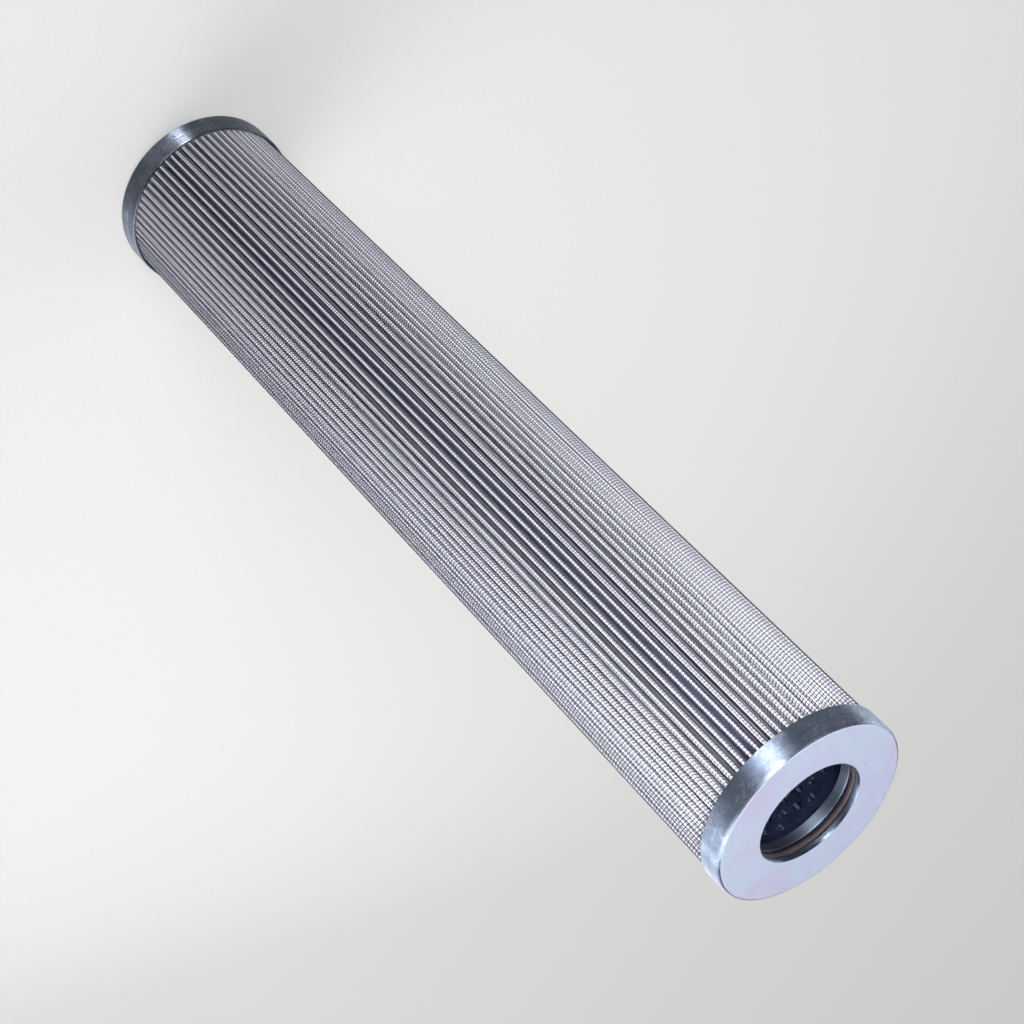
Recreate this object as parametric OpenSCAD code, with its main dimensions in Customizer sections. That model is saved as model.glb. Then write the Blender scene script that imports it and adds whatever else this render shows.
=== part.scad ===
// Hydraulic filter element: a pleated pack on a perforated tube between two pressed end caps.
// It stands on its closed end, with +Z along its axis to the open end. Sizes are in millimetres.

/* [Overall] */
// Length from the closed face to the open face
overall_length = 522; // [150:1:1000]
// Outside diameter of both end caps
cap_diameter = 95; // [80:0.5:140]

/* [End caps] */
// Thickness of the flat faces
face_sheet = 1.2; // [0.8:0.1:2]
// Thickness of the drawn rims
rim_wall = 1.1; // [0.8:0.1:1.6]
// Height of the rim at the open end
open_rim_height = 12; // [10:0.5:25]
// Height of the rim at the closed end
closed_rim_height = 14.5; // [10:0.5:25]
// Outer radius where each face turns into its rim
edge_radius = 1.6; // [1.3:0.1:3]
// Depth of the line scribed round each rim
scribe_depth = 0.12; // [0.05:0.01:0.3]
// Width of that line
scribe_width = 0.3; // [0.2:0.05:0.6]

/* [Seal] */
// Diameter of the bore that slides over the head's spigot
bore_diameter = 52; // [30:0.5:56]
// Section of the O-ring
seal_section = 3.53; // [2.5:0.01:4]
// How far the O-ring stands into the bore
seal_proud = 0.2; // [0.1:0.05:0.2]
// Width of the O-ring groove
groove_width = 4.7; // [4:0.1:6]
// Thickness of the collar's lip in front of the groove
collar_lip = 1.5; // [1:0.1:2.5]
// Length of the collar's shoulder behind the groove
shoulder_length = 4.8; // [3:0.1:8]
// How far the shoulder's bore is wider than the lip's, on the radius
shoulder_relief = 0.4; // [0.2:0.1:1]
// Wall of the collar outside the groove
collar_wall = 1; // [0.8:0.1:2]
// Rounding at the front of the shoulder
shoulder_round = 0.5; // [0.2:0.1:0.8]

/* [Core tube] */
// Wall of the perforated tube
tube_wall = 0.9; // [0.6:0.1:2]
// Slip fit of the tube over the collar, on the radius
tube_fit = 0.1; // [0.05:0.05:0.2]
// Diameter of the holes
hole_diameter = 4; // [2:0.5:6]
// Number of holes along each turn of their spiral
holes_per_turn = 14; // [8:1:18]
// Rise of the spiral from one hole to the next
hole_rise = 3.6; // [1:0.1:6]
// Distance along the axis from a hole to its neighbour on the next spiral
spiral_step = 13.5; // [8:0.1:20]
// Plain length of tube before the first and after the last hole, beyond the collar or potting
plain_margin = 5; // [3:0.5:12]

/* [Pleated pack] */
// Number of pleats
pleat_count = 73; // [50:1:76]
// Clearance of the pleat crests in the rims and of the roots on the tube
pack_clearance = 0.15; // [0.1:0.01:0.3]
// Outer radius of the bend at each crest
crest_bend_radius = 1.15; // [1.1:0.05:1.2]
// Radius, on the tube's side, of the bend at each root
root_bend_radius = 1.15; // [1.1:0.05:1.2]
// Thickness of each of the two wire cloths
cloth_thickness = 0.25; // [0.15:0.01:0.27]
// Thickness of each of the two fleeces
fleece_thickness = 0.1; // [0.05:0.01:0.12]
// Thickness of the filter medium
medium_thickness = 0.2; // [0.1:0.01:0.22]
// How far a crest wanders from its even place, degrees
pleat_wander = 0.2; // [0:0.05:0.3]

/* [Potting and seam] */
// Adhesive under the ends of the pleats
potting_floor = 0.8; // [0.4:0.1:2]
// Depth of the pleats and of the tube in the adhesive
potting_grip = 6; // [3:0.5:8]
// The valley, counted from +X, that holds the side seam
seam_valley = 18; // [0:1:49]
// Height of the seam bead as a share of the valley's depth
seam_fill = 0.8; // [0.3:0.05:0.9]

/* [Hidden] */
cap_radius = cap_diameter / 2;
rim_bore_radius = cap_radius - rim_wall;
bore_radius = bore_diameter / 2;

// Seal and collar
seal_inner_radius = bore_radius - seal_proud;
groove_radius = seal_inner_radius + seal_section;
collar_radius = groove_radius + collar_wall;
shoulder_radius = bore_radius + shoulder_relief;
groove_top = overall_length - face_sheet - collar_lip;
groove_bottom = groove_top - groove_width;
collar_bottom = groove_bottom - shoulder_length;

// Tube
tube_inner_radius = collar_radius + tube_fit;
tube_outer_radius = tube_inner_radius + tube_wall;
tube_bottom = face_sheet;
tube_top = overall_length - face_sheet;
first_hole = tube_bottom + potting_floor + potting_grip + plain_margin + hole_diameter / 2;
last_hole = collar_bottom - plain_margin - hole_diameter / 2;

// Pack, from its outer face (depth 0) to its inner face (depth pack_thickness)
pack_thickness = 2 * cloth_thickness + 2 * fleece_thickness + medium_thickness;
outer_fleece_depth = cloth_thickness;
medium_depth = outer_fleece_depth + fleece_thickness;
inner_fleece_depth = medium_depth + medium_thickness;
inner_cloth_depth = inner_fleece_depth + fleece_thickness;
pack_bottom = face_sheet + potting_floor;
pack_top = overall_length - face_sheet - potting_floor;
crest_centre_radius = rim_bore_radius - pack_clearance - crest_bend_radius;
root_centre_radius = tube_outer_radius + pack_clearance + root_bend_radius;

// Number of straight steps that stand for the bends, the circles and the holes
crest_steps = 5;
root_steps = 3;
circle_sides = 128;
hole_sides = 24;

// How far a cutting shape reaches past the surface that it cuts
cut_reach = 1;

// Pleat geometry

// Angle of crest k, with a slight wander that closes after a full turn
function crest_angle(k) = 360 / pleat_count * k
    + pleat_wander * (sin(360 / pleat_count * 17 * k) + sin(360 / pleat_count * 29 * k + 50)) / 2;

// Angle of the root between crests k and k + 1
function root_angle(k) = (crest_angle(k) + crest_angle(k + 1)) / 2;

function polar(r, a) = [r * cos(a), r * sin(a)];

// Direction of the face of the flank between a crest and a root that stand turn degrees apart.
// It is the normal of the line that touches both bends, and it is the same for every layer.
function flank_normal(turn) =
    let (reach = polar(root_centre_radius, turn) - [crest_centre_radius, 0],
         lean = acos((crest_bend_radius + root_bend_radius - pack_thickness) / norm(reach)))
    atan2(reach[1], reach[0]) - sign(turn) * lean;

function right_normal(k) = crest_angle(k) + flank_normal(root_angle(k) - crest_angle(k));
function left_normal(k) = crest_angle(k) + flank_normal(root_angle(k - 1) - crest_angle(k));

// Points round crest k and round the root after it, on the surface at a depth in the pack
function crest_arc(k, depth) =
    [for (i = [0:crest_steps])
        polar(crest_centre_radius, crest_angle(k))
        + polar(crest_bend_radius - depth,
                left_normal(k) + (right_normal(k) - left_normal(k)) * i / crest_steps)];

function root_arc(k, depth) =
    [for (i = [0:root_steps])
        polar(root_centre_radius, root_angle(k))
        - polar(root_bend_radius - pack_thickness + depth,
                right_normal(k) + (left_normal(k + 1) - right_normal(k)) * i / root_steps)];

function pleat_outline(depth) =
    [for (k = [0:pleat_count - 1]) each concat(crest_arc(k, depth), root_arc(k, depth))];

// Closed band between two depths of the pack
module pleated_band(depth, thickness) {
    outside = pleat_outline(depth);
    inside = pleat_outline(depth + thickness);
    count = len(outside);
    polygon(concat(outside, inside),
            [[for (i = [0:count - 1]) i], [for (i = [0:count - 1]) count + i]]);
}

module pleated_layer(depth, thickness) {
    translate([0, 0, pack_bottom])
        linear_extrude(pack_top - pack_bottom)
            pleated_band(depth, thickness);
}

// Pressed end caps

// Section of a cap with its face at z = 0 and its rim upwards
module cap_section(rim_height, hole_radius) {
    inner_round = edge_radius - rim_wall;
    difference() {
        union() {
            translate([hole_radius, 0])
                square([cap_radius - edge_radius - hole_radius, rim_height]);
            translate([cap_radius - edge_radius, edge_radius])
                square([edge_radius, rim_height - edge_radius]);
            translate([cap_radius - edge_radius, edge_radius])
                circle(edge_radius, $fn = circle_sides);
        }
        translate([hole_radius - cut_reach, face_sheet])
            square([rim_bore_radius - inner_round - hole_radius + cut_reach, rim_height]);
        translate([rim_bore_radius - inner_round - cut_reach, face_sheet + inner_round])
            square([inner_round + cut_reach, rim_height]);
        translate([rim_bore_radius - inner_round, face_sheet + inner_round])
            circle(inner_round, $fn = circle_sides);
        translate([cap_radius - scribe_depth, rim_height / 2 - scribe_width / 2])
            square([scribe_depth + cut_reach, scribe_width]);
    }
}

module pressed_cap(rim_height, hole_radius) {
    rotate_extrude($fn = circle_sides)
        cap_section(rim_height, hole_radius);
}

module open_end_cap() {
    color("LightSteelBlue")
        translate([0, 0, overall_length])
            mirror([0, 0, 1])
                pressed_cap(open_rim_height, bore_radius);
}

module closed_end_cap() {
    color("LightSteelBlue")
        pressed_cap(closed_rim_height, 0);
}

// Seal

module ring(bottom, top, inner_radius, outer_radius) {
    translate([inner_radius, bottom])
        square([outer_radius - inner_radius, top - bottom]);
}

module seal_collar() {
    lip_top = overall_length - face_sheet;
    color("SlateGray")
        rotate_extrude($fn = circle_sides) {
            ring(groove_top, lip_top, bore_radius, collar_radius);
            ring(groove_bottom, groove_top, groove_radius, collar_radius);
            ring(collar_bottom, groove_bottom - shoulder_round, shoulder_radius, collar_radius);
            ring(groove_bottom - shoulder_round, groove_bottom,
                 shoulder_radius + shoulder_round, collar_radius);
            translate([shoulder_radius + shoulder_round, groove_bottom - shoulder_round])
                circle(shoulder_round, $fn = circle_sides);
        }
}

module seal_ring() {
    color("SaddleBrown")
        translate([0, 0, (groove_top + groove_bottom) / 2])
            rotate_extrude($fn = circle_sides)
                translate([seal_inner_radius + seal_section / 2, 0])
                    circle(d = seal_section, $fn = circle_sides);
}

// Core tube

// The holes lie on spirals, each set on by a quarter of the step between its holes, so that four
// spirals fill one turn's rise and the pattern closes
module tube_drills() {
    turn_rise = hole_rise * holes_per_turn;
    hole_turn = 360 / holes_per_turn;
    spirals_below = ceil(turn_rise / spiral_step);
    spirals_up = floor((last_hole - first_hole) / spiral_step);
    for (j = [-spirals_below:spirals_up]) for (i = [0:holes_per_turn - 1]) {
        z = first_hole + spiral_step * j + hole_rise * i;
        if (z >= first_hole && z <= last_hole)
            translate([0, 0, z])
                rotate([0, 90, hole_turn * (i + j / 4)])
                    translate([0, 0, tube_inner_radius - cut_reach])
                        cylinder(h = tube_wall + 2 * cut_reach, d = hole_diameter,
                                 $fn = hole_sides);
    }
}

module core_tube() {
    color("DimGray")
        difference() {
            translate([0, 0, tube_bottom])
                cylinder(h = tube_top - tube_bottom, r = tube_outer_radius, $fn = circle_sides);
            translate([0, 0, tube_bottom - cut_reach])
                cylinder(h = tube_top - tube_bottom + 2 * cut_reach, r = tube_inner_radius,
                         $fn = circle_sides);
            tube_drills();
        }
}

// Layers of the pack, from the outside in

module outer_wire_cloth() {
    color("Silver")
        pleated_layer(0, cloth_thickness);
}

module outer_fleece() {
    color("White")
        pleated_layer(outer_fleece_depth, fleece_thickness);
}

module filter_medium() {
    color("Ivory")
        pleated_layer(medium_depth, medium_thickness);
}

module inner_fleece() {
    color("White")
        pleated_layer(inner_fleece_depth, fleece_thickness);
}

module inner_wire_cloth() {
    color("Silver")
        pleated_layer(inner_cloth_depth, cloth_thickness);
}

// Bead that joins the ends of the pack in one valley. It lies on the root and on both flanks.
module side_seam() {
    k = seam_valley;
    root = polar(root_centre_radius, root_angle(k));
    function up_flank(crest, normal, share) =
        let (low = root - polar(root_bend_radius - pack_thickness, normal),
             high = polar(crest_centre_radius, crest_angle(crest)) + polar(crest_bend_radius, normal))
        low + (high - low) * share;
    color("Goldenrod")
        translate([0, 0, face_sheet + potting_floor + potting_grip])
            linear_extrude(pack_top - pack_bottom - 2 * potting_grip)
                polygon(concat([up_flank(k, right_normal(k), seam_fill)],
                               root_arc(k, 0),
                               [up_flank(k + 1, left_normal(k + 1), seam_fill)]));
}

// Adhesive that holds both ends of the pack and of the tube

// Fills a cap from its face outside the tube, with the pleats set into it
module potting(depth) {
    linear_extrude(potting_floor)
        difference() {
            circle(rim_bore_radius - (edge_radius - rim_wall), $fn = circle_sides);
            circle(tube_outer_radius, $fn = circle_sides);
        }
    translate([0, 0, potting_floor])
        linear_extrude(depth)
            difference() {
                circle(rim_bore_radius, $fn = circle_sides);
                circle(tube_outer_radius, $fn = circle_sides);
                pleated_band(0, pack_thickness);
            }
}

module open_end_potting() {
    color("DarkKhaki")
        translate([0, 0, overall_length - face_sheet])
            mirror([0, 0, 1])
                potting(potting_grip);
}

module closed_end_potting() {
    color("DarkKhaki")
        translate([0, 0, face_sheet])
            potting(potting_grip);
}

open_end_cap();
closed_end_cap();
seal_collar();
seal_ring();
core_tube();
outer_wire_cloth();
outer_fleece();
filter_medium();
inner_fleece();
inner_wire_cloth();
side_seam();
open_end_potting();
closed_end_potting();
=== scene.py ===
# %% [markdown]
# # A hydraulic filter element, dressed for the camera
#
# The element is a long pleated pack on a perforated tube, held between two pressed steel caps.
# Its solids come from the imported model, which fixes every size. This script gives the surfaces
# that the solids leave plain: the woven wire cloth over the pleats, the full hole pattern of the
# tube, the finish of the metal, the rubber and the web, and then a camera and soft light.
#
# Sizes are in millimetres until a mesh is made, because they are easier to read that way.

import bpy
import numpy as np
from mathutils import Matrix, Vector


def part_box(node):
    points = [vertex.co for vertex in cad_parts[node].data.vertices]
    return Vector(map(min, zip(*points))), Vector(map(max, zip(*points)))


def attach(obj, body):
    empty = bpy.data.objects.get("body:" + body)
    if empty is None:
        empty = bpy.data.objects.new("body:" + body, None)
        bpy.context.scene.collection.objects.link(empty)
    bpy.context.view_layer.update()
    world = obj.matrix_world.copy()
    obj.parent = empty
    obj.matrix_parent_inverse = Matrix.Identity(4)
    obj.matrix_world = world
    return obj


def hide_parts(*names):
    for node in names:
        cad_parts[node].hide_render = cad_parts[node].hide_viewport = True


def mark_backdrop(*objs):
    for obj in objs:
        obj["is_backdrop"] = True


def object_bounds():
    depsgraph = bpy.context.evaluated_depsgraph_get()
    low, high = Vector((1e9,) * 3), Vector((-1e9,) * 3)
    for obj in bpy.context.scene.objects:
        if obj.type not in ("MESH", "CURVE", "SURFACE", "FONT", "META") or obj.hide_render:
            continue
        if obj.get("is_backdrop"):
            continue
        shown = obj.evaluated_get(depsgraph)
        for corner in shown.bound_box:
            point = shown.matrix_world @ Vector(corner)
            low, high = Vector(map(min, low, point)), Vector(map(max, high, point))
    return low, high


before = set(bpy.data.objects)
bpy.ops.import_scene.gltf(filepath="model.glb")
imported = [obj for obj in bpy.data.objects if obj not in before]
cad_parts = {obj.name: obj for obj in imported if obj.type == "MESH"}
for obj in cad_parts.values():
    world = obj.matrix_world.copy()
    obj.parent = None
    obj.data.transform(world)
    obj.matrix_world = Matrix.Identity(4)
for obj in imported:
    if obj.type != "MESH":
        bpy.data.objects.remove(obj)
cad_box = [list(corner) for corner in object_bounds()]

MM = 0.001


def per_metre(size_mm):
    """How many times a pattern of a size in millimetres repeats in a metre."""
    return 1 / (size_mm * MM)


def box_mm(node):
    """Lowest and highest corner of a CAD node, in millimetres."""
    low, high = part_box(node)
    return np.array(low) / MM, np.array(high) / MM


LENGTH = cad_box[1][2] / MM
CAP_RADIUS = cad_box[1][0] / MM
print(f"element {LENGTH:.1f} mm long, caps {2 * CAP_RADIUS:.1f} mm across")

# %% [markdown]
# ## The camera
#
# The photograph looks down on the element from about 37 degrees, with the camera rolled so that
# the element runs from the upper left of the picture to the lower right. The place and the three
# directions were found by fitting the outlines of the two caps, and the lens with them. A camera
# in Blender looks along its own minus Z with plus Y up, so the matrix takes the directions as
# columns in that order.

# %% Camera
CAMERA_PLACE = (0.0, -0.872003, 0.963778)
CAMERA_RIGHT = (-0.712561, 0.423570, 0.559326)
CAMERA_DOWN = (0.701610, 0.429679, 0.568436)
CAMERA_FORWARD = (0.000441, 0.797474, -0.603353)
CAMERA_LENS = 82.557
SENSOR_WIDTH = 36.0


def make_camera():
    """The camera's axes are the columns right, minus down and minus forward."""
    data = bpy.data.cameras.new("camera")
    data.lens = CAMERA_LENS
    data.sensor_width = SENSOR_WIDTH
    data.clip_start = 0.01
    camera = bpy.data.objects.new("camera", data)
    matrix = np.eye(4)
    matrix[:3, 0] = CAMERA_RIGHT
    matrix[:3, 1] = -np.array(CAMERA_DOWN)
    matrix[:3, 2] = -np.array(CAMERA_FORWARD)
    matrix[:3, 3] = CAMERA_PLACE
    camera.matrix_world = Matrix(matrix.tolist())
    bpy.context.scene.collection.objects.link(camera)
    return camera


bpy.context.scene.camera = make_camera()
print("camera at", CAMERA_PLACE, "with a", CAMERA_LENS, "mm lens")

# %% [markdown]
# ## Meshes from arrays
#
# Every new surface below is worked out as whole arrays of points and faces. One helper puts them
# into Blender in one go, which is far quicker than adding faces one by one. A face may have four
# corners or three: where two corners of a four-sided face are the same point, as at the pole of
# a turned piece, the helper drops one of them, so that the pole is closed.

# %% Helper that makes a piece from arrays
total_triangles = 0


def make_piece(name, points, faces, materials, replaces, uv=None, part=None, sharp=None):
    """Points in mm, faces as rows of four corner numbers, uv as one pair for each corner.

    part gives each face the number of its material. An edge sharper than the angle sharp, in
    degrees, is shaded as a crease.
    """
    global total_triangles
    faces = np.asarray(faces, dtype=np.int32)
    following = np.roll(faces, -1, axis=1)
    keep = faces != following
    used, corners = np.unique(faces[keep], return_inverse=True)
    points = np.asarray(points, dtype=np.float32)[used]
    sides = keep.sum(axis=1).astype(np.int32)
    starts = np.concatenate([[0], np.cumsum(sides)[:-1]]).astype(np.int32)
    mesh = bpy.data.meshes.new(name)
    mesh.vertices.add(len(points))
    mesh.vertices.foreach_set("co", (points * MM).ravel())
    mesh.loops.add(len(corners))
    mesh.loops.foreach_set("vertex_index", corners.astype(np.int32).ravel())
    mesh.polygons.add(len(faces))
    mesh.polygons.foreach_set("loop_start", starts)
    mesh.polygons.foreach_set("loop_total", sides)
    mesh.polygons.foreach_set("use_smooth", np.ones(len(faces), dtype=bool))
    for material in materials:
        mesh.materials.append(material)
    if part is not None:
        mesh.polygons.foreach_set("material_index", np.asarray(part, dtype=np.int32))
    if uv is not None:
        layer = mesh.uv_layers.new(name="UVMap")
        layer.data.foreach_set("uv", np.asarray(uv, dtype=np.float32)[keep].ravel())
    mesh.update(calc_edges=True)
    mesh.validate()
    if sharp is not None:
        mesh.set_sharp_from_angle(angle=np.radians(sharp))
    piece = bpy.data.objects.new(name, mesh)
    bpy.context.scene.collection.objects.link(piece)
    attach(piece, "root")
    if replaces:
        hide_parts(*replaces)
    triangles = int((sides - 2).sum())
    total_triangles += triangles
    print(f"{name}: {len(points)} points, {triangles} triangles")
    return piece


def grid_faces(rows, columns, close_rows=False, close_columns=False):
    """Four-sided faces of a grid of points, numbered along each row.

    Each face goes from its corner to the next column, then to the next row and back. A closed
    direction joins its last line of points to its first.
    """
    last_row = rows if close_rows else rows - 1
    last_column = columns if close_columns else columns - 1
    row, column = np.meshgrid(np.arange(last_row), np.arange(last_column), indexing="ij")
    next_row = (row + 1) % rows
    next_column = (column + 1) % columns
    faces = np.stack([row * columns + column, row * columns + next_column,
                      next_row * columns + next_column, next_row * columns + column], axis=-1)
    return faces.reshape(-1, 4)


# %% [markdown]
# ## Materials: the helpers
#
# Colours are written as on a colour picker, in hexadecimal sRGB, and one function turns them to
# the linear values that Blender counts in. A second small function adds a node, sets its inputs
# and joins its links. Every material below is built from these two. The scale of each pattern
# comes from its size on the real object, in millimetres. A noise lies mostly between 0.3 and 0.7,
# so that range is what is stretched to the range that a roughness needs.

# %% Colour and node helpers
NOISE_RANGE = {"From Min": 0.3, "From Max": 0.7}


def colour(code):
    """Linear RGBA of a hexadecimal sRGB colour."""
    channel = np.array([int(code[i:i + 2], 16) for i in (1, 3, 5)]) / 255.0
    linear = np.where(channel <= 0.04045, channel / 12.92, ((channel + 0.055) / 1.055) ** 2.4)
    return (*linear.tolist(), 1.0)


def add_node(tree, kind, inputs=None, **settings):
    """Adds a node. An input is given by name or number, as a value or as the socket to link."""
    node = tree.nodes.new(kind)
    for name, value in settings.items():
        setattr(node, name, value)
    for key, value in (inputs or {}).items():
        if isinstance(value, bpy.types.NodeSocket):
            tree.links.new(value, node.inputs[key])
        else:
            node.inputs[key].default_value = value
    return node


def new_material(name):
    """An empty node material, with its output node."""
    material = bpy.data.materials.new(name)
    material.use_nodes = True
    tree = material.node_tree
    tree.nodes.clear()
    return material, tree, tree.nodes.new("ShaderNodeOutputMaterial")


def ramp(tree, factor, stops):
    """A colour ramp from (place, hexadecimal colour) pairs."""
    node = tree.nodes.new("ShaderNodeValToRGB")
    while len(node.color_ramp.elements) < len(stops):
        node.color_ramp.elements.new(0.5)
    for element, (place, code) in zip(node.color_ramp.elements, stops):
        element.position = place
        element.color = colour(code)
    tree.links.new(factor, node.inputs["Fac"])
    return node.outputs["Color"]


print("light lavender reads back as", [round(c, 3) for c in colour("#c5cde6")])

# %% [markdown]
# ## Zinc plate, faces
#
# The caps are deep drawn from steel sheet, zinc plated and blue passivated. The passivation is a
# film thinner than a wavelength of light, so the flat face has a lavender sheen with soft rose
# and green patches, each two or three centimetres across. The sheet was rolled matt, so the face
# is satin. A slow noise picks the tint, and a fine one gives the grain of the plating.

# %% Zinc plate, satin face
GRAIN_DEPTH = 0.03 * MM


def zinc_face_material():
    """Tint from a slow noise, roughness and a very shallow bump from a fine one."""
    material, tree, output = new_material("Blue passivated zinc plate, satin sheet")
    place = add_node(tree, "ShaderNodeTexCoord").outputs["Object"]
    patches = add_node(tree, "ShaderNodeTexNoise",
                       {"Vector": place, "Scale": per_metre(30.0), "Detail": 2.0, "Roughness": 0.5,
                        "Distortion": 0.8})
    tint = ramp(tree, patches.outputs["Fac"],
                [(0.30, "#cac5dd"), (0.43, "#c8cae3"), (0.52, "#c6cee5"), (0.60, "#c4d1e4"),
                 (0.72, "#cdc9df")])
    grain = add_node(tree, "ShaderNodeTexNoise",
                     {"Vector": place, "Scale": per_metre(0.7), "Detail": 3.0, "Roughness": 0.6})
    rough = add_node(tree, "ShaderNodeMapRange",
                     {"Value": grain.outputs["Fac"], **NOISE_RANGE, "To Min": 0.40, "To Max": 0.50})
    bump = add_node(tree, "ShaderNodeBump",
                    {"Height": grain.outputs["Fac"], "Strength": 0.12, "Distance": GRAIN_DEPTH})
    shader = add_node(tree, "ShaderNodeBsdfPrincipled",
                      {"Base Color": tint, "Metallic": 1.0, "Roughness": rough.outputs["Result"],
                       "Normal": bump.outputs["Normal"]})
    tree.links.new(shader.outputs["BSDF"], output.inputs["Surface"])
    return material


ZINC_FACE = zinc_face_material()
print("made", ZINC_FACE.name)

# %% [markdown]
# ## Zinc plate, rims
#
# The rim was drawn through the die and then turned to size, which leaves it brighter than the
# face. Fine lines run round it, so a highlight is narrow round the rim and long along the axis:
# that is what anisotropy gives, with the grooves round the axis. Plating settles in small
# spangles, about a millimetre across, that show as light flecks where the rim is dark. The closed
# cap's rim is smoother than the open one's, and its tints are darker, which is painted shade. A
# noise that is squeezed along the axis gives the lines: one is a quarter of a millimetre wide and
# 50 mm long.

# %% Zinc plate, drawn rim
LINE_WIDTH, LINE_LENGTH = 0.25, 50.0


def zinc_rim_material(name, tints, smoothest, roughest):
    """Tint is the product of spangles and slow clouds, bump the sum of lines and spangles."""
    material, tree, output = new_material(name)
    place = add_node(tree, "ShaderNodeTexCoord").outputs["Object"]
    round_axis, along_axis = per_metre(LINE_LENGTH), per_metre(LINE_WIDTH)
    lines_place = add_node(tree, "ShaderNodeMapping",
                           {"Vector": place, "Scale": (round_axis, round_axis, along_axis)})
    lines = add_node(tree, "ShaderNodeTexNoise",
                     {"Vector": lines_place.outputs["Vector"], "Scale": 1.0, "Detail": 2.0})
    spangle = add_node(tree, "ShaderNodeTexNoise",
                       {"Vector": place, "Scale": per_metre(1.2), "Detail": 4.0, "Roughness": 0.7})
    clouds = add_node(tree, "ShaderNodeTexNoise",
                      {"Vector": place, "Scale": per_metre(12.0), "Detail": 3.0, "Roughness": 0.6})
    flecks = add_node(tree, "ShaderNodeMath",
                      {0: spangle.outputs["Fac"], 1: clouds.outputs["Fac"]}, operation="MULTIPLY")
    tint = ramp(tree, flecks.outputs["Value"], list(zip([0.18, 0.28, 0.38, 0.50], tints)))
    rough = add_node(tree, "ShaderNodeMapRange",
                     {"Value": spangle.outputs["Fac"], **NOISE_RANGE,
                      "To Min": smoothest, "To Max": roughest})
    height = add_node(tree, "ShaderNodeMath",
                      {0: lines.outputs["Fac"], 1: spangle.outputs["Fac"]}, operation="ADD")
    bump = add_node(tree, "ShaderNodeBump",
                    {"Height": height.outputs["Value"], "Strength": 0.15,
                     "Distance": GRAIN_DEPTH})
    tangent = add_node(tree, "ShaderNodeTangent", direction_type="RADIAL", axis="Z")
    shader = add_node(tree, "ShaderNodeBsdfPrincipled",
                      {"Base Color": tint, "Metallic": 1.0, "Roughness": rough.outputs["Result"],
                       "Anisotropic": 1.0, "Anisotropic Rotation": 0.25,
                       "Tangent": tangent.outputs["Tangent"], "Normal": bump.outputs["Normal"]})
    tree.links.new(shader.outputs["BSDF"], output.inputs["Surface"])
    return material


ZINC_RIM = zinc_rim_material("Blue passivated zinc plate, drawn rim",
                             ["#6f7a8e", "#7d889b", "#98a4b5", "#b4becc"], 0.36, 0.48)
# The closed cap's rim: the same zinc with darker tints, which are painted shade, and smoother.
SHADED_RIM = zinc_rim_material("Blue passivated zinc plate, drawn rim, painted shade",
                             ["#4c525e", "#565c67", "#6b717c", "#828790"], 0.25, 0.35)
print("made", ZINC_RIM.name, "and", SHADED_RIM.name)

# %% [markdown]
# ## The pressed caps
#
# A cap is one disc of sheet, drawn to a cup: a flat face, a small outer radius and a rim, which
# a tool has marked with one thin line. A turned profile is the natural way to make it. The
# profile is a list of points, radius and height, walked with the outside on its right hand, and
# every point is carried round the axis. Small steps at each corner keep the corners round, and a
# point just beside each corner keeps the flat part next to it flat when it is shaded smooth.

# %% Turned pieces
TURNS = 192


def arc(centre, radius, start, end, steps):
    """Points of an arc: the centre plus the radius at angles from start to end, in degrees."""
    angle = np.radians(np.linspace(start, end, steps + 1))
    return np.array(centre) + radius * np.stack([np.cos(angle), np.sin(angle)], axis=1)


def turned(profile, closed):
    """Carries a profile of (radius, height) points round Z, TURNS places to the turn.

    A point on the axis would be the same point at every place, so only its first is used, which
    closes the pole. The profile runs with the outside on its right.
    """
    angle = np.arange(TURNS) * 2 * np.pi / TURNS
    radius, height = profile[:, 0], profile[:, 1]
    points = np.stack([radius[:, None] * np.cos(angle), radius[:, None] * np.sin(angle),
                       np.repeat(height[:, None], TURNS, axis=1)], axis=-1)
    faces = grid_faces(len(profile), TURNS, close_rows=closed, close_columns=True)
    on_axis = np.repeat(radius < 1e-6, TURNS)
    first = np.repeat(np.arange(len(profile)) * TURNS, TURNS)
    number = np.where(on_axis, first, np.arange(len(profile) * TURNS))
    return points.reshape(-1, 3), number[faces]


# Sizes in mm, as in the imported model. The scribed line is a shallow V.
FACE_SHEET = 1.2
RIM_WALL = 1.1
EDGE_RADIUS = 1.6
SCRIBE_DEPTH = 0.12
SCRIBE_WIDTH = 0.3
LIP_ROUND = 0.25
CORNER_STEP = 0.3
LIP_STEP = 0.2


def cap_profile(hole_radius, rim_height):
    """Section of a cap, face at height 0: from the hole's edge out, up the rim and back inside."""
    inner = CAP_RADIUS - RIM_WALL
    inner_round = EDGE_RADIUS - RIM_WALL
    middle = rim_height / 2
    half = SCRIBE_WIDTH / 2
    hole_edge = ([[0.0, 0.0]] if hole_radius == 0
                 else arc((hole_radius + LIP_ROUND, LIP_ROUND), LIP_ROUND, 180, 270, 3))
    parts = [
        hole_edge,
        [[hole_radius + LIP_ROUND + CORNER_STEP, 0.0],
         [CAP_RADIUS - EDGE_RADIUS - CORNER_STEP, 0.0]],
        arc((CAP_RADIUS - EDGE_RADIUS, EDGE_RADIUS), EDGE_RADIUS, 270, 360, 6),
        [[CAP_RADIUS, EDGE_RADIUS + CORNER_STEP], [CAP_RADIUS, middle - half],
         [CAP_RADIUS - SCRIBE_DEPTH, middle], [CAP_RADIUS, middle + half],
         [CAP_RADIUS, rim_height - LIP_ROUND - LIP_STEP]],
        arc((CAP_RADIUS - LIP_ROUND, rim_height - LIP_ROUND), LIP_ROUND, 0, 90, 3),
        arc((inner + LIP_ROUND, rim_height - LIP_ROUND), LIP_ROUND, 90, 180, 3),
        arc((inner - inner_round, FACE_SHEET + inner_round), inner_round, 0, -90, 3),
        [[hole_radius, FACE_SHEET]],
    ]
    return np.concatenate([np.asarray(part, dtype=float) for part in parts])


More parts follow.
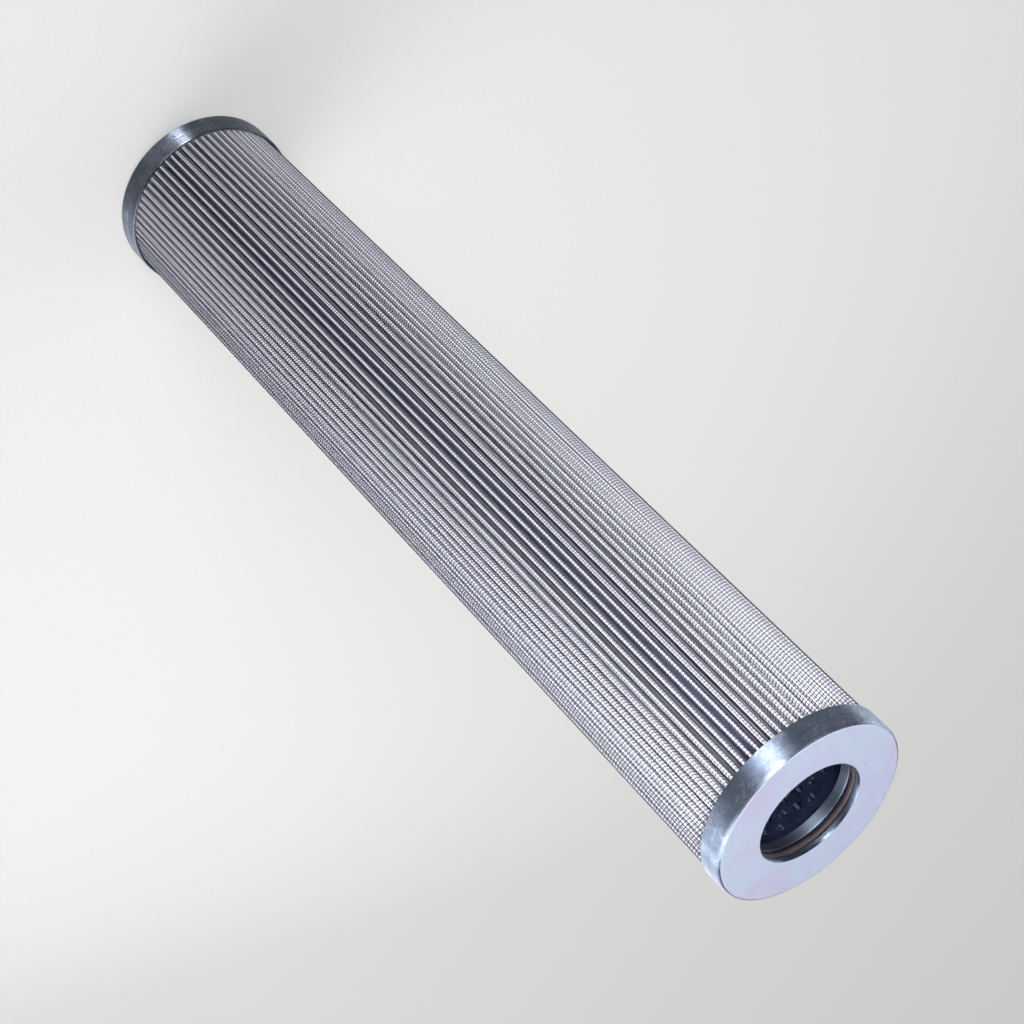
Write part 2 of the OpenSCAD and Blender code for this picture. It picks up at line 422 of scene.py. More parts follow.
def make_cap(name, hole_radius, rim_height, rim_material, upside_down):
    """A cap whose flat face is satin, and whose rim and rounded edges have the rim's finish."""
    profile = cap_profile(hole_radius, rim_height)
    points, faces = turned(profile, closed=hole_radius > 0)
    rows = len(faces) // TURNS
    on_rim = profile[:rows, 1] > 0
    part = np.repeat(on_rim.astype(int), TURNS)
    if upside_down:
        points[:, 2] = LENGTH - points[:, 2]
        faces = faces[:, ::-1]
    return make_piece(name, points, faces, [ZINC_FACE, rim_material], [name],
                      part=part, sharp=35)


open_low, open_high = box_mm("open_end_cap")
OPEN_RIM = open_high[2] - open_low[2]
CLOSED_RIM = box_mm("closed_end_cap")[1][2]
BORE_RADIUS = 26.0
make_cap("open_end_cap", BORE_RADIUS, OPEN_RIM, ZINC_RIM, upside_down=True)
closed_cap = make_cap("closed_end_cap", 0.0, CLOSED_RIM, SHADED_RIM, upside_down=False)
print(f"rims {OPEN_RIM:.1f} mm and {CLOSED_RIM:.1f} mm high")

# %% [markdown]
# ## The seal and its collar
#
# Behind the face sits a turned steel collar. Its lip and its shoulder hold an O-ring between
# them, which seals on the spigot of the filter head. The collar is turned from bar, so fine tool
# lines run round it and its edges are just broken. Its tint is darker than the face's, which is
# painted shade of the bore it sits in. The O-ring is dark brown, the usual colour of fluorocarbon
# rubber, and matt from its mould. Both are profiles carried round the axis, as the caps are.

# %% Turned steel and fluorocarbon rubber
TOOL_LINES = (30.0, 30.0, 6000.0)


def turned_steel_material():
    """TOOL_LINES is repeats in a metre across and along the axis: lines a sixth of a mm wide."""
    material, tree, output = new_material("Turned steel, zinc plated")
    place = add_node(tree, "ShaderNodeTexCoord").outputs["Object"]
    stretched = add_node(tree, "ShaderNodeMapping", {"Vector": place, "Scale": TOOL_LINES})
    lines = add_node(tree, "ShaderNodeTexNoise",
                     {"Vector": stretched.outputs["Vector"], "Scale": 1.0, "Detail": 3.0})
    # Both tints are darker than the face's: painted shade of the bore.
    tint = ramp(tree, lines.outputs["Fac"], [(0.35, "#5c6679"), (0.65, "#7c8798")])
    rough = add_node(tree, "ShaderNodeMapRange",
                     {"Value": lines.outputs["Fac"], **NOISE_RANGE, "To Min": 0.44, "To Max": 0.56})
    bump = add_node(tree, "ShaderNodeBump",
                    {"Height": lines.outputs["Fac"], "Strength": 0.2, "Distance": GRAIN_DEPTH})
    tangent = add_node(tree, "ShaderNodeTangent", direction_type="RADIAL", axis="Z")
    shader = add_node(tree, "ShaderNodeBsdfPrincipled",
                      {"Base Color": tint, "Metallic": 1.0, "Roughness": rough.outputs["Result"],
                       "Anisotropic": 0.7, "Anisotropic Rotation": 0.25,
                       "Tangent": tangent.outputs["Tangent"], "Normal": bump.outputs["Normal"]})
    tree.links.new(shader.outputs["BSDF"], output.inputs["Surface"])
    return material


def rubber_material():
    """A faint bloom, in patches of 4 mm, varies both the brown and the roughness."""
    material, tree, output = new_material("Brown fluorocarbon rubber, moulded")
    place = add_node(tree, "ShaderNodeTexCoord").outputs["Object"]
    bloom = add_node(tree, "ShaderNodeTexNoise",
                     {"Vector": place, "Scale": per_metre(4.0), "Detail": 4.0, "Roughness": 0.6})
    tint = ramp(tree, bloom.outputs["Fac"], [(0.35, "#271f27"), (0.65, "#372c35")])
    rough = add_node(tree, "ShaderNodeMapRange",
                     {"Value": bloom.outputs["Fac"], **NOISE_RANGE, "To Min": 0.58, "To Max": 0.70})
    shader = add_node(tree, "ShaderNodeBsdfPrincipled",
                      {"Base Color": tint, "Roughness": rough.outputs["Result"], "IOR": 1.5})
    tree.links.new(shader.outputs["BSDF"], output.inputs["Surface"])
    return material


TURNED_STEEL = turned_steel_material()
RUBBER = rubber_material()
print("made", TURNED_STEEL.name, "and", RUBBER.name)

# %% Collar and O-ring
SEAL_SECTION = 3.53
SEAL_PROUD = 0.2
SEAL_POINTS = 16
GROOVE_WIDTH = 4.7
COLLAR_LIP = 1.5
SHOULDER_RELIEF = 0.4
SHOULDER_ROUND = 0.5
EDGE_BREAK = 0.15

collar_low, collar_high = box_mm("seal_collar")
COLLAR_RADIUS = collar_high[0]
GROOVE_RADIUS = BORE_RADIUS - SEAL_PROUD + SEAL_SECTION
GROOVE_TOP = collar_high[2] - COLLAR_LIP
GROOVE_BOTTOM = GROOVE_TOP - GROOVE_WIDTH
SHOULDER_RADIUS = BORE_RADIUS + SHOULDER_RELIEF


def collar_profile():
    """Section of the collar: outside, lip with a broken edge, groove, rounded shoulder."""
    parts = [
        [[SHOULDER_RADIUS, collar_low[2]], [COLLAR_RADIUS, collar_low[2]],
         [COLLAR_RADIUS, collar_high[2]], [BORE_RADIUS, collar_high[2]],
         [BORE_RADIUS, GROOVE_TOP + EDGE_BREAK], [BORE_RADIUS + EDGE_BREAK, GROOVE_TOP],
         [GROOVE_RADIUS, GROOVE_TOP], [GROOVE_RADIUS, GROOVE_BOTTOM]],
        arc((SHOULDER_RADIUS + SHOULDER_ROUND, GROOVE_BOTTOM - SHOULDER_ROUND), SHOULDER_ROUND,
            90, 180, 5),
    ]
    return np.concatenate([np.asarray(part, dtype=float) for part in parts])


points, faces = turned(collar_profile(), closed=True)
make_piece("seal_collar", points, faces, [TURNED_STEEL], ["seal_collar"], sharp=30)

ring_centre = (BORE_RADIUS - SEAL_PROUD + SEAL_SECTION / 2, (GROOVE_TOP + GROOVE_BOTTOM) / 2)
last_angle = 360 - 360 / SEAL_POINTS
section = arc(ring_centre, SEAL_SECTION / 2, 0, last_angle, SEAL_POINTS - 1)
points, faces = turned(section, closed=True)
make_piece("seal_ring", points, faces, [RUBBER], ["seal_ring"])

# %% [markdown]
# ## The perforated tube
#
# The core tube is wound from punched strip, so its holes lie on spirals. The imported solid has
# every second hole, and here is the full pattern. Unrolled, the wall is a sheet of slanted cells
# with one hole each. Columns a quarter of a hole's pitch wide let every row of cells, which is
# set on by that quarter, share its corners with the next row. Round each hole the twelve border
# points of its cell join to twelve points of the hole's edge, on the outside, on the inside and
# through the wall.

# %% Tube steel
def tube_steel_material():
    """Stains of 9 mm vary tint and gloss; the dark navy tint is painted shade inside the tube."""
    material, tree, output = new_material("Cold rolled steel, punched, painted shade")
    place = add_node(tree, "ShaderNodeTexCoord").outputs["Object"]
    stain = add_node(tree, "ShaderNodeTexNoise",
                     {"Vector": place, "Scale": per_metre(9.0), "Detail": 4.0, "Roughness": 0.6})
    # Painted shade: both tints are a dark navy, for the inside of the tube.
    tint = ramp(tree, stain.outputs["Fac"], [(0.35, "#2b3350"), (0.65, "#3a4262")])
    rough = add_node(tree, "ShaderNodeMapRange",
                     {"Value": stain.outputs["Fac"], **NOISE_RANGE, "To Min": 0.22, "To Max": 0.38})
    shader = add_node(tree, "ShaderNodeBsdfPrincipled",
                      {"Base Color": tint, "Metallic": 0.6, "Roughness": rough.outputs["Result"]})
    tree.links.new(shader.outputs["BSDF"], output.inputs["Surface"])
    return material


SHADED_TUBE_STEEL = tube_steel_material()
print("made", SHADED_TUBE_STEEL.name)

# %% Tube with its full hole pattern
# HOLE_RISE is the rise from one hole to the next round the tube, SPIRAL_STEP from one spiral to
# the next above it. The first and last hole heights leave both ends of the tube plain.
HOLE_RADIUS = 2.0
HOLES_PER_TURN = 28
HOLE_RISE = 1.8
SPIRAL_STEP = 6.75
FIRST_HOLE = 15.0
LAST_HOLE = 502.8
TUBE_WALL = 0.9
HOLE_CORNERS = 12
BEYOND_ALL_ROWS = 10**6

tube_low, tube_high = box_mm("core_tube")
COLUMNS = 4 * HOLES_PER_TURN
COLUMN_RISE = HOLE_RISE / 4
CELL_HEIGHT = SPIRAL_STEP - COLUMN_RISE
ROWS_PER_TURN = round(HOLES_PER_TURN * HOLE_RISE / CELL_HEIGHT)
FIRST_ROW = -ROWS_PER_TURN - 1
ROW_COUNT = int(LAST_HOLE / CELL_HEIGHT) + 2 * ROWS_PER_TURN + 4


def row_height(column, row):
    """Height of the middle of a row of cells at a column. Rows slant by the spiral's rise."""
    return FIRST_HOLE + CELL_HEIGHT * row + COLUMN_RISE * column


def shared_number(column, row):
    """Number of a border point. One turn further is the same point some rows higher."""
    turns = column // COLUMNS
    return (row + ROWS_PER_TURN * turns - FIRST_ROW) * COLUMNS + column - COLUMNS * turns


def tube_mesh():
    """Holes are at columns that differ from their row by a multiple of four.

    Border points lie at whole columns, half a cell below or above the middle of a row, and at
    the middle of a cell's two sides. All points are kept twice, outside and inside. across and
    above walk the border of a cell from the middle of its right side, in columns and rows, and
    at_side is 1 for the two points in the middle of a side.
    """
    row, column = np.meshgrid(np.arange(ROW_COUNT) + FIRST_ROW, np.arange(COLUMNS), indexing="ij")
    angle = column * 2 * np.pi / COLUMNS
    corner = row_height(column, row - 0.5).clip(tube_low[2], tube_high[2])
    side = row_height(column, row).clip(tube_low[2], tube_high[2])
    height = row_height(column, row)
    is_hole = ((column - row) % 4 == 0) & (height >= FIRST_HOLE) & (height <= LAST_HOLE)
    hole_row, hole_column = row[is_hole], column[is_hole]
    across = np.array([2, 2, 1, 0, -1, -2, -2, -2, -1, 0, 1, 2])
    above = np.array([0, 1, 1, 1, 1, 1, 0, 0, 0, 0, 0, 0])
    at_side = np.array([1, 0, 0, 0, 0, 0, 1, 0, 0, 0, 0, 0])
    grid = ROW_COUNT * COLUMNS
    border = (shared_number(hole_column[:, None] + across, hole_row[:, None] + above)
              + grid * at_side)
    ring_angle = np.arange(HOLE_CORNERS) * 2 * np.pi / HOLE_CORNERS
    ring = 2 * grid + np.arange(len(hole_row) * HOLE_CORNERS).reshape(-1, HOLE_CORNERS)
    top = ring.size + 2 * grid + np.arange(COLUMNS)
    bottom = top + COLUMNS
    layer_size = bottom[-1] + 1

    def layer_points(radius):
        """Points of one side of the wall: corners, sides, hole edges and both ends."""
        hole_angle = (hole_column[:, None] * 2 * np.pi / COLUMNS
                      + np.arcsin(HOLE_RADIUS * np.cos(ring_angle) / radius))
        hole_height = height[is_hole][:, None] + HOLE_RADIUS * np.sin(ring_angle)
        all_angle = np.concatenate([angle.ravel(), angle.ravel(), hole_angle.ravel(),
                                    angle[0], angle[0]])
        all_height = np.concatenate([corner.ravel(), side.ravel(), hole_height.ravel(),
                                     np.full(COLUMNS, tube_high[2]),
                                     np.full(COLUMNS, tube_low[2])])
        x, y = radius * np.cos(all_angle), radius * np.sin(all_angle)
        return np.stack([x, y, all_height], axis=1)

    next_border, next_ring = np.roll(border, -1, axis=1), np.roll(ring, -1, axis=1)
    cells = np.stack([ring, border, next_border, next_ring], axis=-1).reshape(-1, 4)
    walls = np.stack([ring, next_ring, next_ring + layer_size, ring + layer_size],
                     axis=-1).reshape(-1, 4)

    spans = hole_column[:, None] + np.array([-2, -1, 0, 1])
    span_column = spans % COLUMNS
    span_row = hole_row[:, None] + ROWS_PER_TURN * (spans // COLUMNS)
    highest = np.full(COLUMNS, -BEYOND_ALL_ROWS)
    lowest = np.full(COLUMNS, BEYOND_ALL_ROWS)
    np.maximum.at(highest, span_column, span_row)
    np.minimum.at(lowest, span_column, span_row)
    here = np.arange(COLUMNS)
    there = (here + 1) % COLUMNS
    over = np.stack([shared_number(here, highest + 1), shared_number(here + 1, highest + 1),
                     top[there], top[here]], axis=-1)
    under = np.stack([bottom[here], bottom[there], shared_number(here + 1, lowest),
                      shared_number(here, lowest)], axis=-1)
    outside = np.concatenate([cells, over, under])
    top_end = np.stack([top[here], top[there], top[there] + layer_size,
                        top[here] + layer_size], axis=-1)
    bottom_end = np.stack([bottom[there], bottom[here], bottom[here] + layer_size,
                           bottom[there] + layer_size], axis=-1)
    points = np.concatenate([layer_points(tube_high[0]), layer_points(tube_high[0] - TUBE_WALL)])
    faces = np.concatenate([outside, outside[:, ::-1] + layer_size, walls, top_end, bottom_end])
    print(f"tube: {len(hole_row)} holes")
    return points, faces


points, faces = tube_mesh()
make_piece("core_tube", points, faces, [SHADED_TUBE_STEEL], ["core_tube"], sharp=35)

# %% [markdown]
# ## The shape of a pleat
#
# The pack is a flat web of five layers, folded 73 times. Seen from above, a pleat is two straight
# flanks that join a round bend at the crest to a round bend at the root. Everything on it, web
# and wires alike, is placed by one function: how far round the pleat a point lies from the top
# of its crest, and how deep in the pack. Points in the plane are held as complex numbers, which
# makes a turn about the axis a product.
#
# Real pleats are never quite straight. Each crest sways by up to a quarter of a millimetre along
# its length, as a slow wave of its own. The potting holds the ends still, and so does the bead
# of the side seam.

# %% Pleat sizes
# A bend is the outer radius of a fold, in mm, and CREST_MIDDLE and ROOT_MIDDLE are the radii of the
# middle of the outer wire cloth there. The seam lies in the valley after pleat SEAM_VALLEY.
PLEATS = 73
PLEAT_WANDER = 0.2
WANDER_WAVES = (17, 29)
WANDER_START = 50
PACK_CLEARANCE = 0.15
CREST_BEND = 1.15
ROOT_BEND = 1.15
CLOTH = 0.25
FLEECE = 0.1
MEDIUM = 0.2
PACK = 2 * CLOTH + 2 * FLEECE + MEDIUM
CREST_CENTRE = CAP_RADIUS - RIM_WALL - PACK_CLEARANCE - CREST_BEND
ROOT_CENTRE = tube_high[0] + PACK_CLEARANCE + ROOT_BEND
CREST_MIDDLE = CREST_BEND - CLOTH / 2
ROOT_MIDDLE = ROOT_BEND - PACK + CLOTH / 2
SEAM_VALLEY = 18
SWAY = 0.12
SWAY_WAVE = (190, 420)

pack_low, pack_high = box_mm("outer_wire_cloth")
PACK_BOTTOM, PACK_TOP = pack_low[2], pack_high[2]
sway_choice = np.random.default_rng(11)
SWAY_LENGTH = sway_choice.uniform(*SWAY_WAVE, size=(PLEATS, 2))
SWAY_START = sway_choice.uniform(0, 2 * np.pi, size=(PLEATS, 2))


def crest_angle(pleat):
    """Even steps round the axis, plus a slight wander of two waves that close after a turn."""
    step = 360 / PLEATS * pleat
    first, second = WANDER_WAVES
    wander = (np.sin(np.radians(first * step))
              + np.sin(np.radians(second * step + WANDER_START)))
    return step + PLEAT_WANDER * wander / 2


def point_at(radius, degrees):
    """Complex point at a radius and an angle."""
    return radius * np.exp(1j * np.radians(degrees))


def pleat_side(pleat, side):
    """One side of a pleat: its normal, the turn to its root, and its crest, flank and root length.

    The flank is the line that touches both bends. Lengths are measured in the middle of the
    outer wire cloth, and the root's is half of its arc.
    """
    turn = (crest_angle(pleat + side) - crest_angle(pleat)) / 2
    reach = point_at(ROOT_CENTRE, turn) - CREST_CENTRE
    lean = np.arccos((CREST_BEND + ROOT_BEND - PACK) / np.abs(reach))
    normal = np.degrees(np.angle(reach) - side * lean)
    flank = np.abs(reach) * np.sin(lean)
    crest = np.radians(np.abs(normal)) * CREST_MIDDLE
    root = np.radians(np.abs(normal) - np.abs(turn)) * ROOT_MIDDLE
    return normal, turn, crest, flank, root


def sway(pleat, height):
    """Sideways shift of a crest, in mm: two slow waves that fade out at the potting."""
    share = ((height - PACK_BOTTOM) / (PACK_TOP - PACK_BOTTOM)).clip(0, 1)
    held = np.sin(np.pi * share) ** 0.5
    number = pleat % PLEATS
    waves = sum(np.sin(2 * np.pi * height / SWAY_LENGTH[number, i] + SWAY_START[number, i])
                for i in range(2))
    free = (number != SEAM_VALLEY) & (number != SEAM_VALLEY + 1)
    return SWAY * waves * held * free


def pleat_points(pleat, travel, depth, height):
    """Points in mm from whole arrays that broadcast together.

    travel is the distance round the pleat from the top of its crest, plus towards the next
    pleat. First comes the arc of the crest, then the straight flank, then the arc of the root.
    The sway grows from nothing at the root to its full size at the crest.
    """
    side = np.where(travel < 0, -1, 1)
    normal, turn, crest, flank, root = pleat_side(pleat, side)
    distance = np.abs(travel)
    on_arc = side * np.degrees(np.minimum(distance, crest) / CREST_MIDDLE)
    down = np.clip(distance - crest, 0, flank)
    outer = (CREST_CENTRE + point_at(CREST_BEND - depth, on_arc)
             + point_at(down, normal + side * 90))
    on_root = normal - side * np.degrees((distance - crest - flank) / ROOT_MIDDLE)
    inner = point_at(ROOT_CENTRE, turn) - point_at(ROOT_BEND - PACK + depth, on_root)
    local = np.where(distance > crest + flank, inner, outer)
    share = ((np.abs(local) - ROOT_CENTRE) / (CREST_CENTRE - ROOT_CENTRE)).clip(0, 1)
    shift = share * sway(pleat, height) / CREST_CENTRE
    place = local * point_at(1, crest_angle(pleat)) * np.exp(1j * shift)
    return np.stack([place.real, place.imag, np.broadcast_to(height, place.shape)], axis=-1)


print(f"flanks {pleat_side(0, 1)[3]:.2f} mm long, half a crest's arc {pleat_side(0, 1)[2]:.2f} mm")

# %% [markdown]
# ## The web under the wires
#
# Under the wires lies a white spunbond fleece, a felt of polyester threads. The wires press into
# it, so it stands up between them in small pillows, and painted shade darkens it where they lie.
# Its UV map holds real millimetres, distance round the pleat and height, so one pattern in the
# material fits the modelled wires exactly. Deep in the valleys, where no wires are modelled, the
# same pattern draws them, and the web turns greyer with painted shade, because less light finds
# its way down there.

# %% Spunbond fleece
WARP_PITCH = 1.4
WEFT_PITCH = 1.82
WIRE_WIDTH = 0.26
THREADS_PER_MM = 7.0
WEB_DEPTH = 0.1 * MM
GREY_FROM, GREY_TO = 6.0, 11.0


def wave_ridge(tree, value, pitch, offset):
    """Distance to the nearest line of a pattern, from 0 on the line to 1 midway between lines."""
    moved = add_node(tree, "ShaderNodeMath", {0: value, 1: offset}, operation="SUBTRACT")
    folded = add_node(tree, "ShaderNodeMath", {0: moved.outputs["Value"], 1: pitch / 2},
                      operation="PINGPONG")
    return add_node(tree, "ShaderNodeMath", {0: folded.outputs["Value"], 1: 2 / pitch},
                    operation="MULTIPLY").outputs["Value"]


def fleece_material(name, light, shade, wire, weft_start):
    """Pillows between wires: the height is the root of the product of the distances to two wires.

    The tint goes from wire to shade to light with the nearest wire's distance: the shade and, under
    the modelled wires, the wire tint are painted shade. From GREY_FROM to GREY_TO millimetres from
    the top of the crest it turns to a grey violet, which is painted shade of the deep valley.
    """
    material, tree, output = new_material(name)
    uv = add_node(tree, "ShaderNodeUVMap", uv_map="UVMap").outputs["UV"]
    axes = add_node(tree, "ShaderNodeSeparateXYZ", {"Vector": uv})
    across = wave_ridge(tree, axes.outputs["X"], WARP_PITCH, 0.0)
    along = wave_ridge(tree, axes.outputs["Y"], WEFT_PITCH, weft_start)
    nearest = add_node(tree, "ShaderNodeMath", {0: across, 1: along}, operation="MINIMUM")
    threads = add_node(tree, "ShaderNodeTexNoise",
                       {"Vector": uv, "Scale": THREADS_PER_MM, "Detail": 3.0, "Roughness": 0.6})
    stretched = add_node(tree, "ShaderNodeMath", {0: across, 1: along}, operation="MULTIPLY")
    pillow = add_node(tree, "ShaderNodeMath", {0: stretched.outputs["Value"], 1: 0.5},
                      operation="POWER")
    height = add_node(tree, "ShaderNodeMath",
                      {0: threads.outputs["Fac"], 1: 0.25, 2: pillow.outputs["Value"]},
                      operation="MULTIPLY_ADD")
    # The shade tint, and the wire tint under the modelled wires, are painted shade.
    tint = ramp(tree, nearest.outputs["Value"],
                [(0.0, wire), (0.16, wire), (0.24, shade), (0.60, light)])
    # Painted shade: from GREY_FROM mm round the pleat the tint turns to a grey violet.
    from_crest = add_node(tree, "ShaderNodeMath", {0: axes.outputs["X"]}, operation="ABSOLUTE")
    deep = add_node(tree, "ShaderNodeMapRange",
                    {"Value": from_crest.outputs["Value"], "From Min": GREY_FROM,
                     "From Max": GREY_TO})
    toned = add_node(tree, "ShaderNodeMix",
                     {"Factor": deep.outputs["Result"], "A": tint, "B": colour("#8484a6")},
                     data_type="RGBA")
    bump = add_node(tree, "ShaderNodeBump",
                    {"Height": height.outputs["Value"], "Strength": 0.6, "Distance": WEB_DEPTH})
    shader = add_node(tree, "ShaderNodeBsdfPrincipled",
                      {"Base Color": toned.outputs[2], "Roughness": 0.85, "Sheen Weight": 0.1,
                       "Normal": bump.outputs["Normal"]})
    tree.links.new(shader.outputs["BSDF"], output.inputs["Surface"])
    return material


VISIBLE_BOTTOM = CLOSED_RIM - 1.0
VISIBLE_TOP = LENGTH - OPEN_RIM + 1.0
WEFT_START = VISIBLE_BOTTOM + WEFT_PITCH / 2
WEFTS = int((VISIBLE_TOP - VISIBLE_BOTTOM) / WEFT_PITCH)
FLEECE_WHITE = fleece_material("White spunbond polyester fleece", "#fcfcff", "#d8d8ea", "#5a5a74",
                               WEFT_START)
print(f"made {FLEECE_WHITE.name}, for {WEFTS} weft wires")

# %% Layers of the pack
FINE_STEPS = [0.25, 0.5, 0.75, 1.0, 2.0, 2.5, 3.0]
COARSE_STEPS = [1.0, 2.0, 2.5, 3.0]
warp_choice = np.random.default_rng(5)
WARP_PHASE = warp_choice.integers(0, 2, PLEATS) * WARP_PITCH / 2


def travel_at(pleat, zone):
    """Distance round the pleat for a zone number: 0 to 1 crest, 1 to 2 flank, 2 to 3 half root."""
    side = np.where(zone < 0, -1, 1)
    _, _, crest, flank, root = pleat_side(pleat, side)
    zone = np.abs(zone)
    return side * (crest * zone.clip(0, 1) + flank * (zone - 1).clip(0, 1)
                   + root * (zone - 2).clip(0, 1))


def pleated_layer(name, depth, thickness, steps, rows, material):
    """A closed band: rows go up the outer face and back down the inner face.

    steps are the zone numbers of its columns. The last column of a pleat is the first of the
    next, so it is left out of the points, but each face keeps its own pleat's travel in the UV
    map.
    """
    half = np.array(steps)
    zones = np.concatenate([-half[::-1], [0.0], half])
    pleat = np.arange(PLEATS)[None, :, None]
    travel = travel_at(pleat, zones[None, None, :])
    height = np.linspace(PACK_BOTTOM, PACK_TOP, rows)
    height = np.concatenate([height, height[::-1]])[:, None, None]
    layer_depth = np.repeat([depth, depth + thickness], rows)[:, None, None]
    points = pleat_points(pleat, travel[..., :-1], layer_depth, height)
    columns = PLEATS * (len(zones) - 1)
    faces = grid_faces(2 * rows, columns, close_rows=True, close_columns=True)
    phase = WARP_PHASE[:, None]
    u_start = (travel[0, :, :-1] - phase).ravel()
    u_end = (travel[0, :, 1:] - phase).ravel()
    v = height.ravel()
    v_next = np.roll(v, -1)
    uv = np.empty((2 * rows, columns, 4, 2))
    uv[..., 0, 0] = uv[..., 3, 0] = u_start
    uv[..., 1, 0] = uv[..., 2, 0] = u_end
    uv[..., 0, 1] = uv[..., 1, 1] = v[:, None]
    uv[..., 2, 1] = uv[..., 3, 1] = v_next[:, None]
    return make_piece(name, points.reshape(-1, 3), faces, [material], [name],
                      uv=uv.reshape(-1, 4, 2), sharp=50)


pleated_layer("outer_fleece", CLOTH, FLEECE, FINE_STEPS, 13, FLEECE_WHITE)

# %% [markdown]
# ## The filter medium and the inner fleece
#
# Two more webs lie behind the fleece, the glass fibre medium that holds back the dirt and a
# second fleece. They follow the same pleats. Hardly anything of them shows, so they have fewer
# points and plainer finishes: glass fibre is a fine, slightly yellow felt.

# %% Hidden webs
def felt_material(name, light, dark, fibre_mm):
    """Tufts of a size in millimetres, drawn coarser than the real fibres so that they show."""
    material, tree, output = new_material(name)
    place = add_node(tree, "ShaderNodeTexCoord").outputs["Object"]
    fibres = add_node(tree, "ShaderNodeTexNoise",
                      {"Vector": place, "Scale": per_metre(fibre_mm), "Detail": 4.0,
                       "Roughness": 0.7})
    bump = add_node(tree, "ShaderNodeBump",
                    {"Height": fibres.outputs["Fac"], "Strength": 0.4, "Distance": WEB_DEPTH})
    tint = ramp(tree, fibres.outputs["Fac"], [(0.35, dark), (0.65, light)])
    shader = add_node(tree, "ShaderNodeBsdfPrincipled",
                      {"Base Color": tint, "Roughness": 0.9, "Normal": bump.outputs["Normal"]})
    tree.links.new(shader.outputs["BSDF"], output.inputs["Surface"])
    return material


GLASS_FIBRE = felt_material("Glass fibre felt", "#f3efe2", "#dcd6c4", 0.4)
INNER_FLEECE = felt_material("White spunbond polyester fleece, inside", "#f0f0f4", "#d2d2da", 0.5)
pleated_layer("filter_medium", CLOTH + FLEECE, MEDIUM, COARSE_STEPS, 11, GLASS_FIBRE)
pleated_layer("inner_fleece", CLOTH + FLEECE + MEDIUM, FLEECE, COARSE_STEPS, 11, INNER_FLEECE)

# %% [markdown]
# ## The wire cloth
#
# The cloth is woven square from steel wire of about a quarter of a millimetre. Warp wires run
# along the element, weft wires run round it over every crest, and they pass over and under each
# other in turn. Each wire is a low ridge of two faces across, shaded smooth, which costs little
# and still catches the light as a wire does. Wires are modelled on the crests and the upper
# flanks, where they can be seen one by one. The tint is darker than bare steel, because so thin
# a wire has its own shadow beside it, which a ridge on the web doesn't throw. The weft wires are
# three pieces, so that none grows too large for its file. Every wire is one line of points that
# the pleat function bends, so all wires of a kind are made at once.

# %% Galvanised wire
def wire_material():
    """Dull and bright stretches of wire, 1.5 mm long."""
    material, tree, output = new_material("Galvanised steel wire, woven")
    place = add_node(tree, "ShaderNodeTexCoord").outputs["Object"]
    patches = add_node(tree, "ShaderNodeTexNoise",
                       {"Vector": place, "Scale": per_metre(1.5), "Detail": 2.0, "Roughness": 0.6})
    tint = ramp(tree, patches.outputs["Fac"], [(0.35, "#3a3a52"), (0.65, "#565672")])
    rough = add_node(tree, "ShaderNodeMapRange",
                     {"Value": patches.outputs["Fac"], **NOISE_RANGE,
                      "To Min": 0.35, "To Max": 0.5})
    shader = add_node(tree, "ShaderNodeBsdfPrincipled",
                      {"Base Color": tint, "Metallic": 1.0, "Roughness": rough.outputs["Result"]})
    tree.links.new(shader.outputs["BSDF"], output.inputs["Surface"])
    return material


WIRE = wire_material()
print("made", WIRE.name)

# %% Wires over the crests
# A ridge's top stands RIDGE mm above the middle of the cloth, and its two feet lie FOOT below it.
CRIMP = 0.06
RIDGE = 0.13
FOOT = 0.06
ACROSS = np.array([-1.0, 0.0, 1.0]) * WIRE_WIDTH / 2
DEPTH_ACROSS = np.array([FOOT, -RIDGE, FOOT])
WEFT_TRAVEL = np.array([-3.6, -1.4, -0.7, 0.0, 0.7, 1.4, 3.6])
WOVEN_REACH = 2
WEFT_PIECES = 3
weft_height = WEFT_START + WEFT_PITCH * np.arange(WEFTS)


def crimp(travel, phase, weft):
    """How far a weft wire is lifted: a cosine, up over one warp wire and down under the next."""
    wave = np.cos(np.pi * ((travel - phase) / WARP_PITCH + weft))
    return CRIMP * wave * (np.abs(travel) < WOVEN_REACH)


def strips(name, points):
    """Many like wires in one piece: each is a grid of points, and the grids aren't joined."""
    count, rows, columns = points.shape[:3]
    faces = grid_faces(rows, columns)[None] + (np.arange(count) * rows * columns)[:, None, None]
    return make_piece(name, points.reshape(-1, 3), faces.reshape(-1, 4), [WIRE],
                      ["outer_wire_cloth"])


def weft_wires(first, last):
    """Weft wires from number first to last, as one arch over each crest."""
    weft = np.arange(first, last)[:, None, None, None]
    pleat = np.arange(PLEATS)[None, :, None, None]
    travel = WEFT_TRAVEL[None, None, None, :]
    lift = crimp(travel, WARP_PHASE[pleat], weft)
    depth = CLOTH / 2 - lift + DEPTH_ACROSS[:, None]
    height = weft_height[weft] + ACROSS[:, None]
    points = pleat_points(pleat, travel, depth, height)
    return points.reshape(-1, 3, len(WEFT_TRAVEL), 3)


weft_bounds = np.linspace(0, WEFTS, WEFT_PIECES + 1).astype(int)
for part in range(WEFT_PIECES):
    arches = weft_wires(weft_bounds[part], weft_bounds[part + 1])
    strips(f"weft_wires_{part + 1}", arches)

